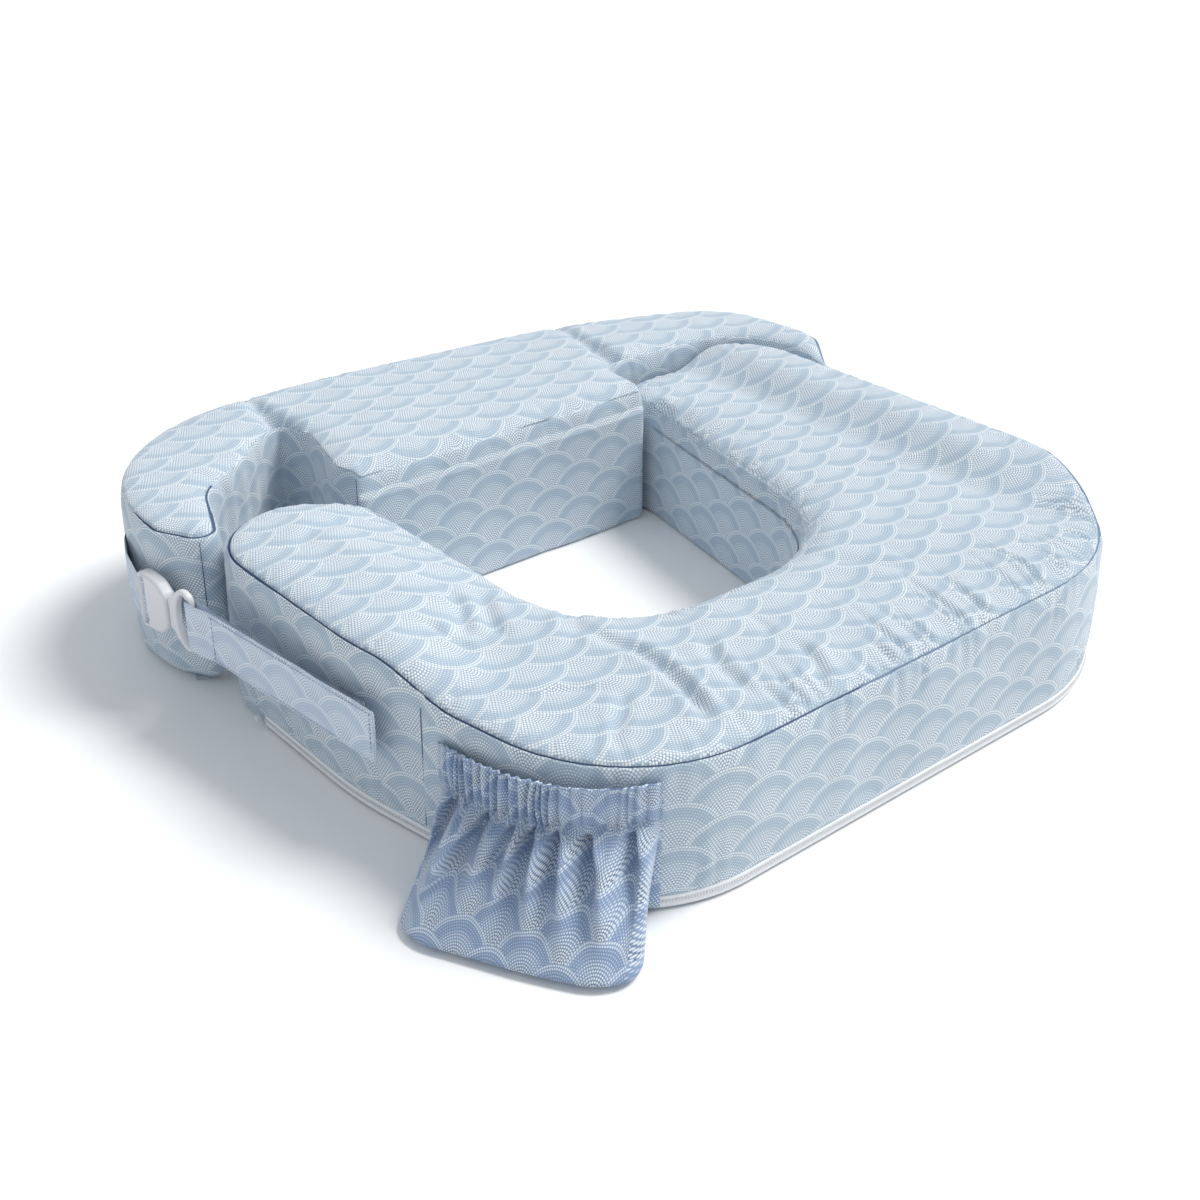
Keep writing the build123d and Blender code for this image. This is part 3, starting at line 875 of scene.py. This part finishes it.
def ribbon(name, path, z_mid, half_width, thickness, material, wave=0.4, seed=1, edge=0.0):
    """An upright strip of doubled cloth along a plan path, closed, with soft edges."""
    path = even_path(path, 2.0)
    along, normal = path_frame(path)
    across = np.linspace(-1, 1, 21)
    made = Patches()
    grids = []
    for side in (1, -1):
        first = made.count
        for k, v in enumerate(across):
            z = np.full(len(path), z_mid + v * half_width)
            z += 0.35 * noise(along / 22, v, seed + 5) * abs(v)
            rim = np.sqrt(max(0.0, 1 - max(0.0, (abs(v) - 0.94) / 0.06) ** 2))
            sewn = edge * bell((abs(v) - 0.86) / 0.035)
            lift = wave * noise(along / 26, v * 0.9, seed) + side * (thickness / 2 * rim - sewn)
            made.add(np.column_stack([path + normal * lift[:, None], z]))
        grids.append(first)
    n, v = len(path), across * half_width

    def strip(i, low, high, v0, v1, turned):
        quad = [low, low + 1, high + 1, high]
        uv = [(along[i], v0), (along[i + 1], v0), (along[i + 1], v1), (along[i], v1)]
        made.face(quad[::-1] if turned else quad, uv[::-1] if turned else uv)

    for grid, turned in zip(grids, (False, True)):
        for k in range(len(v) - 1):
            for i in range(n - 1):
                low = grid + k * n + i
                strip(i, low, low + n, v[k], v[k + 1], turned)
    a, b = grids
    last = (len(v) - 1) * n
    for i in range(n - 1):
        strip(i, a + i, b + i, 0, 1, False)
        strip(i, a + last + i, b + last + i, 0, 1, True)
    for low in range(0, last, n):
        made.face((a + low, a + low + n, b + low + n, b + low), UNIT_UV)
        low += n - 1
        made.face((b + low, b + low + n, a + low + n, a + low), UNIT_UV)
    return made.build(name, material)


def stitches(name, places, material, length=2.2, width=0.55):
    """Short raised threads: each place is (point, direction, outward), in drawing millimetres."""
    made = Patches()
    for point, direction, out in places:
        d, o = unit(direction), unit(out)
        c = np.cross(d, o)
        p = np.array(point, float)
        rings = []
        for t, r in ((-0.5, 0.35), (-0.3, 0.9), (0.0, 1.0), (0.3, 0.9), (0.5, 0.35)):
            centre = p + d * t * length + o * width * (0.5 * (1 - 4 * t * t))
            rings.append(made.add([centre + (c * math.cos(g) + o * math.sin(g)) * width * 0.5 * r
                                   for g in np.linspace(0, 2 * math.pi, 7)[:-1]]))
        for a, b in zip(rings[:-1], rings[1:]):
            for g in range(6):
                h = (g + 1) % 6
                made.face((a + g, a + h, b + h, b + g))
        made.face([rings[0] + g for g in reversed(range(6))])
        made.face([rings[-1] + g for g in range(6)])
    return made.build(name, material)


def upright_seam(name, corners, place, low, high, out, body):
    """A line of stitches up a wall, darkened to paint the seam's shade, at the outline point
    nearest to a place.
    """
    line, _ = rounded_line(corners)
    i = int(np.argmin(np.hypot(*(line - place).T)))
    o = outward(line)[i]
    places = [((*(line[i] + o * out), z), (0, 0, 1), (*o, 0)) for z in np.arange(low, high, 2.3)]
    seam = stitches(name, places, DARK_THREAD_SHADE, length=2.6, width=0.6)
    belongs(seam, body, "cover_fabric")


# upright seams, their stitches darkened as painted seam shade
upright_seam("clip_side_seam", TRAY_CORNERS, (-270, NEAR_SEAM_Y), 12, 94, -0.3, "tray")
upright_seam("end_pad_seam", BAND_CORNERS, (-284, 78), 30, 114, 1.7, "end_pad")
upright_seam("block_corner_seam", BAND_CORNERS, (-149, 103), 4, 114, 0.9, "lumbar")

CLIP_CENTRE = np.array((-309.0, 100.0))
CLIP_SIZE = 0.92          # against the solid parts
CLIP_Z = 69.5
CLIP_TILT = math.radians(5.6)
CLIP_DIR = np.array((-math.sin(CLIP_TILT), math.cos(CLIP_TILT)))
CLIP_OUT = np.array((-math.cos(CLIP_TILT), -math.sin(CLIP_TILT)))


def clip_plan(along, out):
    """Plan point from a place along the strap's line and a distance out of it."""
    return CLIP_CENTRE + CLIP_DIR * along * CLIP_SIZE + CLIP_OUT * out


# strap on the tray's side: free end, over the ring's bar, and back to the anchor
STRAP_PATH = [(-250, 1.5), (-68, 1.5), (-55, 4.1), (-42.4, 4.1), (-40.0, 2.0), (-40.0, -2.0),
              (-42.4, -3.7), (-55, -3.7), (-68, -0.9), (-232, -0.9)]
strap = ribbon("near_strap_webbing", rounded_path([clip_plan(*p) for p in STRAP_PATH], 3.0),
               CLIP_Z, 18.2, 1.5, STRAP_COTTON, wave=0.5, seed=41, edge=0.35)
belongs(strap, "clip_strap", "strap_fabric", "near_strap")

places = []
for x in np.arange(-247, -70, 3.4):
    for v in (-15.6, 15.6):
        p = clip_plan(x, 1.5 + 0.75)
        places.append(((*p, CLIP_Z + v), (*CLIP_DIR, 0), (*CLIP_OUT, 0)))
for v in np.arange(-14.0, 15, 3.2):
    for x in (-246.5, -72.0):
        p = clip_plan(x, 1.5 + 0.75)
        places.append(((*p, CLIP_Z + v), (0, 0, 1), (*CLIP_OUT, 0)))
strap_thread = stitches("near_strap_stitching", places, THREAD)
belongs(strap_thread, "clip_strap", "strap_fabric")

tab_line = [p for p in rounded_line(TRAY_CORNERS)[0] if p[0] < -250 and -108 < p[1] < -78]
tab_line = sorted(tab_line, key=lambda p: p[1])
tab = ribbon("strap_anchor", [(x - 2.4, y) for x, y in tab_line], CLIP_Z - 2, 14.0, 1.6,
             STRAP_COTTON, wave=0.1, seed=44)
belongs(tab, "tray", "strap_fabric", "strap_anchor_tab")

# strap on the end pad: round the housing's bar and into the pad's side
PAD_PATH = [(-288, 187), (-297, 172), (-306.5, 150)]
ROUND_THE_BAR = ((26, 1.4), (21.4, 2.9), (15.0, 2.9), (14.2, 0.0), (15.0, -2.9),
                 (21.4, -2.9), (24, -1.4))
pad_route = PAD_PATH + [tuple(clip_plan(*p)) for p in ROUND_THE_BAR]
pad_strap = ribbon("pad_strap_webbing", rounded_path(pad_route, 3.0), CLIP_Z, 18.0, 1.4,
                   STRAP_COTTON, wave=0.1, seed=47, edge=0.3)
belongs(pad_strap, "end_pad", "strap_fabric", "pad_strap")


def finished_mesh(item):
    """The mesh of an object, with its modifiers or its curve's thickness worked in."""
    bpy.context.view_layer.update()
    graph = bpy.context.evaluated_depsgraph_get()
    return bpy.data.meshes.new_from_object(item.evaluated_get(graph))


def plate(name, outlines, thickness, round_edge, material):
    """A moulded plate in the clip's plane: the first outline is its rim, the others are holes."""
    curve = bpy.data.curves.new(name, "CURVE")
    curve.dimensions = "2D"
    curve.fill_mode = "BOTH"
    curve.extrude = (thickness / 2 - round_edge) * MM
    curve.bevel_depth = round_edge * MM
    curve.bevel_resolution = 3
    curve.offset = -round_edge * MM
    for outline in outlines:
        spline = curve.splines.new("BEZIER")
        spline.use_cyclic_u = True
        spline.bezier_points.add(len(outline) - 1)
        spline.resolution_u = 8
        for dot, (x, y) in zip(spline.bezier_points, outline):
            dot.co = (x * MM, y * MM, 0)
            dot.handle_left_type = dot.handle_right_type = "AUTO"
    holder = linked(name + "_curve", curve)
    mesh = finished_mesh(holder)
    bpy.data.objects.remove(holder)
    centre = row_point(*CLIP_CENTRE, CLIP_Z)
    x_axis, z_axis = Vector((*CLIP_DIR, 0)), Vector((*CLIP_OUT, 0))
    y_axis = z_axis.cross(x_axis)
    turn = Matrix((x_axis, y_axis, z_axis)).transposed().to_4x4()
    mesh.transform(Matrix.Translation(centre) @ turn @ Matrix.Scale(CLIP_SIZE, 4))
    mesh.materials.clear()
    mesh.materials.append(material)
    mesh.shade_smooth()
    return linked(name, mesh)


def mirrored(half):
    """A closed outline from the half above the axis."""
    return half + [(x, -y) for x, y in reversed(half)]


FEMALE_RIM = mirrored([(-15.6, 5.0), (-15.2, 12.5), (-12.0, 16.0), (-6.0, 20.6), (2.0, 22.0),
                       (12.0, 22.2), (18.5, 20.5), (20.0, 16.0), (20.0, 6.0)])
female = plate("clip_socket", [FEMALE_RIM, mirrored([(11.4, 8.0), (11.6, 18.2), (13.6, 19.2),
                                                    (15.4, 18.2), (15.6, 8.0)])],
               10.6, 2.4, CLIP_PLASTIC)
belongs(female, "end_pad", "clip_plastic", "buckle_female")

MALE_RIM = mirrored([(-16.2, 6.0), (-16.4, 12.0), (-20.0, 14.0), (-25.0, 18.6), (-31.0, 23.2),
                     (-38.0, 24.3), (-43.5, 21.5), (-45.8, 15.0), (-45.8, 6.0)])
MALE_EYE = mirrored([(-26.2, 5.0), (-28.4, 13.0), (-33.0, 19.4), (-38.2, 20.6),
                     (-41.2, 17.5), (-41.5, 7.0)])
male = plate("clip_plug", [MALE_RIM, MALE_EYE], 5.6, 1.7, CLIP_PLASTIC)
belongs(male, "clip_strap", "clip_plastic", "buckle_male")

# zipper: a tape that follows the foot of the outer side, and its teeth
tray_line, _ = rounded_line(TRAY_CORNERS)
ZIP_NEAR_Y, ZIP_FAR_Y = 20.0, -4.0      # where it starts and ends, on the two outer sides


def along_foot(step):
    """Even plan points and normals round the tray's foot, from the clip side to the far side."""
    x, y = tray_line.T
    count = len(tray_line)
    i = int(np.argmin(np.abs(y - ZIP_NEAR_Y) + 9 * (x > -280)))
    end = int(np.argmin(np.abs(y - ZIP_FAR_Y) + 9 * (x < 280)))
    way = 1 if y[(i + 1) % count] < y[i] else -1
    indices = []
    while i != end:
        indices.append(i)
        i = (i + way) % count
    path = even_path(tray_line[indices + [end]], step)
    _, normal = path_frame(path)
    if normal[len(path) // 2][1] > 0:
        normal = -normal
    return path, normal


foot_path, foot_normal = along_foot(2.5)
tape = Patches()
TAPE_SECTION = [(0.05, 1.6), (0.55, 1.7), (0.8, 3.0), (0.85, 4.6), (0.5, 5.0),     # out, height
                (0.5, 7.2), (0.85, 7.6), (0.8, 8.8), (0.5, 9.6), (0.05, 9.6)]
rows = [tape.add(np.column_stack([foot_path + foot_normal * out, np.full(len(foot_path), z)]))
        for out, z in TAPE_SECTION]
for a, b in zip(rows, rows[1:] + rows[:1]):
    for i in range(len(foot_path) - 1):
        tape.face((a + i, a + i + 1, b + i + 1, b + i))
tape.face(rows)
tape.face([r + len(foot_path) - 1 for r in reversed(rows)])
tape = tape.build("zip_tape", ZIP_TAPE)
belongs(tape, "tray", "zipper_tape", "zipper_tape")

TOOTH_PITCH, TOOTH_Z = 1.9, 6.1
tooth_path, tooth_normal = along_foot(TOOTH_PITCH)
places = [((*(p + o * 0.75), TOOTH_Z), (0, 0, 1), (*o, 0))
          for p, o in zip(tooth_path, tooth_normal)]
teeth = stitches("zip_teeth", places, ZIP_NYLON, length=2.4, width=1.1)
belongs(teeth, "tray", "zipper_nylon", "zipper_coil")

for node, material, edge in (("zipper_slider", ZIP_METAL, 0.35), ("zipper_pull", ZIP_METAL, 0.3),
                             ("zipper_end_stops", ZIP_NYLON, 0.4)):
    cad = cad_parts[node]
    cad.data.materials.clear()
    cad.data.materials.append(material)
    bevel = cad.modifiers.new("soft_edges", "BEVEL")
    bevel.width = edge * MM
    bevel.segments = 3
    bevel.limit_method = "ANGLE"

# pocket on the clip side's front corner
POCKET_MID = np.array((-238.5, -229.5))
POCKET_TURN = math.radians(29.0)
POCKET_OUT = np.array((-math.cos(POCKET_TURN), -math.sin(POCKET_TURN)))
POCKET_ALONG = np.array((math.sin(POCKET_TURN), -math.cos(POCKET_TURN)))
POCKET_HALF, POCKET_TOP, POCKET_SEAM, POCKET_FLOOR = 69.0, 89.0, 60.0, 1.6


def pocket_plan(t, n):
    t, n = np.broadcast_arrays(np.asarray(t, float), np.asarray(n, float))
    return POCKET_MID + t[..., None] * POCKET_ALONG + n[..., None] * POCKET_OUT


wall_t = (tray_line - POCKET_MID) @ POCKET_ALONG
wall_n = (tray_line - POCKET_MID) @ POCKET_OUT
in_reach = (np.abs(wall_t) < 95) & (wall_n > -60)
order = np.argsort(wall_t[in_reach])
WALL_T, WALL_N = wall_t[in_reach][order], wall_n[in_reach][order]


def wall_gap(t, gap):
    """Place out from the mouth's plane that lies gap away from the tray's side."""
    return np.interp(t, WALL_T, WALL_N) + gap


def pocket_lines(columns):
    """For each column of the pocket: its place at the mouth, at the floor and back at the wall."""
    share = np.linspace(0, 1, columns)
    t_high = -POCKET_HALF + 2 * POCKET_HALF * share
    bulge = 4.4 + 6.0 * (1 - np.abs(t_high / POCKET_HALF) ** 3)
    high = np.column_stack([t_high, wall_gap(t_high, 0) + bulge])
    left, right = -62.0, 62.0
    low_corners = [(left, wall_gap(left, 3.2)), (-66, 64), (-50, 80), (12, 82), (62, 79), (79, 62),
                   (right, wall_gap(right, 3.2))]
    low_path = rounded_path(low_corners, 14.0)
    along, _ = path_frame(low_path)
    low_share = np.interp(share, [0, 0.07, 0.94, 1], [0, 0.225, 0.755, 1])
    low = points_at(low_share * along[-1], along, low_path)
    t_back = np.clip(low[:, 0], left, right)
    backs = np.column_stack([t_back, wall_gap(t_back, 3.2)])
    return share, high, low, backs


COLUMNS = 300
POUCH_CLOTH = 245         # width of its cloth before it is gathered
share, high, low, backs = pocket_lines(COLUMNS)


def folds(x, count, seed):
    """Irregular rounded pleats with sharp valleys between them, from -1 to 1."""
    f = x * count + 0.6 * noise(x * count * 0.5, 0.0, seed)
    cell = np.floor(f)
    return (1 - 2 * np.abs(2 * (f - cell) - 1) ** 1.6) * (0.55 + 0.45 * random_at(cell, 0, seed))


POUCH_FOLDS = (           # place at the band, place at the floor, width, depth, length
    (0.12, 0.09, 0.024, 15.0, 1.3), (0.30, 0.20, 0.026, 15.0, 0.95), (0.43, 0.35, 0.018, 9.0, 0.5),
    (0.51, 0.50, 0.022, 15.0, 0.7), (0.61, 0.66, 0.021, 13.0, 0.65), (0.73, 0.80, 0.024, 15.0, 0.8),
    (0.89, 0.91, 0.022, 12.0, 1.1),
)


def pouch_folds(v):
    """Valleys with raised lips that run down from the gathered band and fade out."""
    total = np.zeros(COLUMNS)
    for top, bottom, width, depth, reach in POUCH_FOLDS:
        spread = width * (1 + 1.6 * v)
        off = (share - top - (bottom - top) * v) / spread
        fade = smooth(v / 0.1) * bell(v / reach) * (1 - v ** 4)
        total += depth * fade * (0.55 * bell(off - 1.8) + 0.55 * bell(off + 1.8) - bell(off))
    return total


def pocket_grid():
    """Rows of points from the mouth's rim down to the floor and back under to the wall."""
    fine = folds(share, 24, 51) * (0.8 + 0.5 * noise(share * 7, 0.0, 50))
    wide = noise(share * 4.2, 0.0, 53)
    ends = smooth(share / 0.03) * smooth((1 - share) / 0.03)
    tilt = np.interp(share, [0, 0.5, 1], [-9.0, -1.5, 1.0])
    low_tilt = np.interp(share, [0, 0.5, 1], [-8.0, -1.0, 5.0])
    rows = []
    for v in (0.0, 0.03, 0.08, 0.14, 0.22, 0.35, 0.5, 0.65, 0.78, 0.86, 0.91, 0.95, 1.0):
        z = POCKET_TOP + tilt * (1 - v) + low_tilt * v - v * (POCKET_TOP - POCKET_SEAM)
        z = z + 1.2 * fine * (1 - v) ** 3 - 2.2 * fine * v ** 6
        pinch = 2.0 * bell((v - 0.91) / 0.05) + 1.5 * bell((v - 0.10) / 0.05)
        rows.append((high[:, 0] + 1.0 * ends * noise(share * 40, v * 2, 57),
                     high[:, 1] + ends * (3.2 * fine - pinch), z))
    for v in np.linspace(0.03, 1, 34):
        open_share = v ** 0.8
        t = high[:, 0] * (1 - open_share) + low[:, 0] * open_share
        n = high[:, 1] * (1 - open_share) + low[:, 1] * open_share
        sag = -7.0 * math.sin(math.pi * v) * (1 - v) * ends
        crimp = 3.2 * fine * math.exp(-v / 0.10)
        crush = 2.2 * noise(share * 12 + 3 * v, v * 4, 58) * math.sin(math.pi * v)
        fold = pouch_folds(v) + 4.0 * wide * smooth(v / 0.3) * (1 - 0.75 * v)
        z = (POCKET_SEAM + low_tilt) * (1 - v) + (POCKET_FLOOR + 3) * v
        rows.append((t, n + ends * (crimp + fold + crush) + sag, z))
    for v in (0.03, 0.08, 0.2, 0.5, 1.0):
        t = low[:, 0] * (1 - v) + backs[:, 0] * v
        n = low[:, 1] * (1 - v) + backs[:, 1] * v
        rows.append((t, n, POCKET_FLOOR + 2.2 * (1 - v) ** 8 + 0 * share))
    return rows


def cloth_from_rows(name, rows, thickness, material, across):
    """A cloth from rows of (t, n, z), thickened inwards. across is each column's place in it."""
    made = Patches()
    firsts = [made.add(np.column_stack([pocket_plan(t, n), z])) for t, n, z in rows]
    down = 0.0
    for p, q, a, b in zip(made.points[:-1], made.points[1:], firsts[:-1], firsts[1:]):
        lower = down - np.linalg.norm(q - p, axis=1).mean()
        for i in range(COLUMNS - 1):
            left, right = across[i:i + 2]
            made.face((a + i, b + i, b + i + 1, a + i + 1),
                      ((left, down), (left, lower), (right, lower), (right, down)))
        down = lower
    piece = made.build(name, material)
    shell = piece.modifiers.new("thickness", "SOLIDIFY")
    shell.thickness = thickness * MM
    shell.offset = -1
    mesh = finished_mesh(piece)
    mesh.shade_smooth()
    piece.modifiers.clear()
    piece.data = mesh
    return piece


pouch = cloth_from_rows("pocket_pouch_cloth", pocket_grid(), 1.3, POCKET_COTTON,
                        share * POUCH_CLOTH - 30)
belongs(pouch, "pocket", "pocket_fabric", "pocket_pouch", "pocket_mouth_casing",
        "pocket_elastic")

back_t = np.linspace(-POCKET_HALF + 1, POCKET_HALF - 1, 60)
back_path = pocket_plan(back_t, wall_gap(back_t, 2.8))
pocket_back = ribbon("pocket_back_cloth", back_path, 40.0, 36.5, 1.0, POCKET_COTTON,
                     wave=0.0, seed=55)
belongs(pocket_back, "pocket", "pocket_fabric", "pocket_back_panel")


# ---- camera, light and floor

CAMERA_TURN, CAMERA_RISE, CAMERA_ROLL = -40.38, 28.65, 0.45      # degrees
CAMERA_TARGET = Vector((-0.0559, -0.0326, 0.050))
CAMERA_DISTANCE = 1.138
turn, rise = math.radians(CAMERA_TURN), math.radians(CAMERA_RISE)
back = Vector((math.sin(turn) * math.cos(rise), -math.cos(turn) * math.cos(rise), math.sin(rise)))
camera_data = bpy.data.cameras.new("camera")
camera_data.sensor_width = 36.0
camera_data.lens = 48.73
camera = linked("camera", camera_data)
camera.rotation_mode = "QUATERNION"
camera.location = CAMERA_TARGET + back * CAMERA_DISTANCE
roll = Matrix.Rotation(math.radians(CAMERA_ROLL), 4, "Z").to_quaternion()
camera.rotation_quaternion = (-back).to_track_quat("-Z", "Y") @ roll
bpy.context.scene.camera = camera

FLOOR_HALF = 40.0         # metres
floor_mesh = bpy.data.meshes.new("floor")
floor_mesh.from_pydata([(x * FLOOR_HALF, y * FLOOR_HALF, 0)
                        for x, y in ((-1, -1), (1, -1), (1, 1), (-1, 1))], [], [(0, 1, 2, 3)])
floor = linked("floor", floor_mesh)
floor_material, _, floor_shader = new_material("floor_paper")
floor_shader.inputs["Base Color"].default_value = (0.95, 0.95, 0.95, 1)
floor_shader.inputs["Roughness"].default_value = 0.9
floor_mesh.materials.append(floor_material)

world = bpy.data.worlds.new("studio")
world.use_nodes = True
sky = world.node_tree.nodes["Background"]
sky.inputs["Color"].default_value = (0.89, 0.945, 1.0, 1)
sky.inputs["Strength"].default_value = 0.57
bpy.context.scene.world = world

sun_data = bpy.data.lights.new("key", "SUN")
sun_data.energy = 2.62
sun_data.angle = 0.45
sun_data.color = (1.0, 0.985, 0.95)
sun = linked("key", sun_data)
sun.rotation_mode = "QUATERNION"
sun.rotation_quaternion = Vector((-0.75, 0.20, -1.0)).to_track_quat("-Z", "Y")
bpy.context.scene.view_settings.view_transform = "Standard"
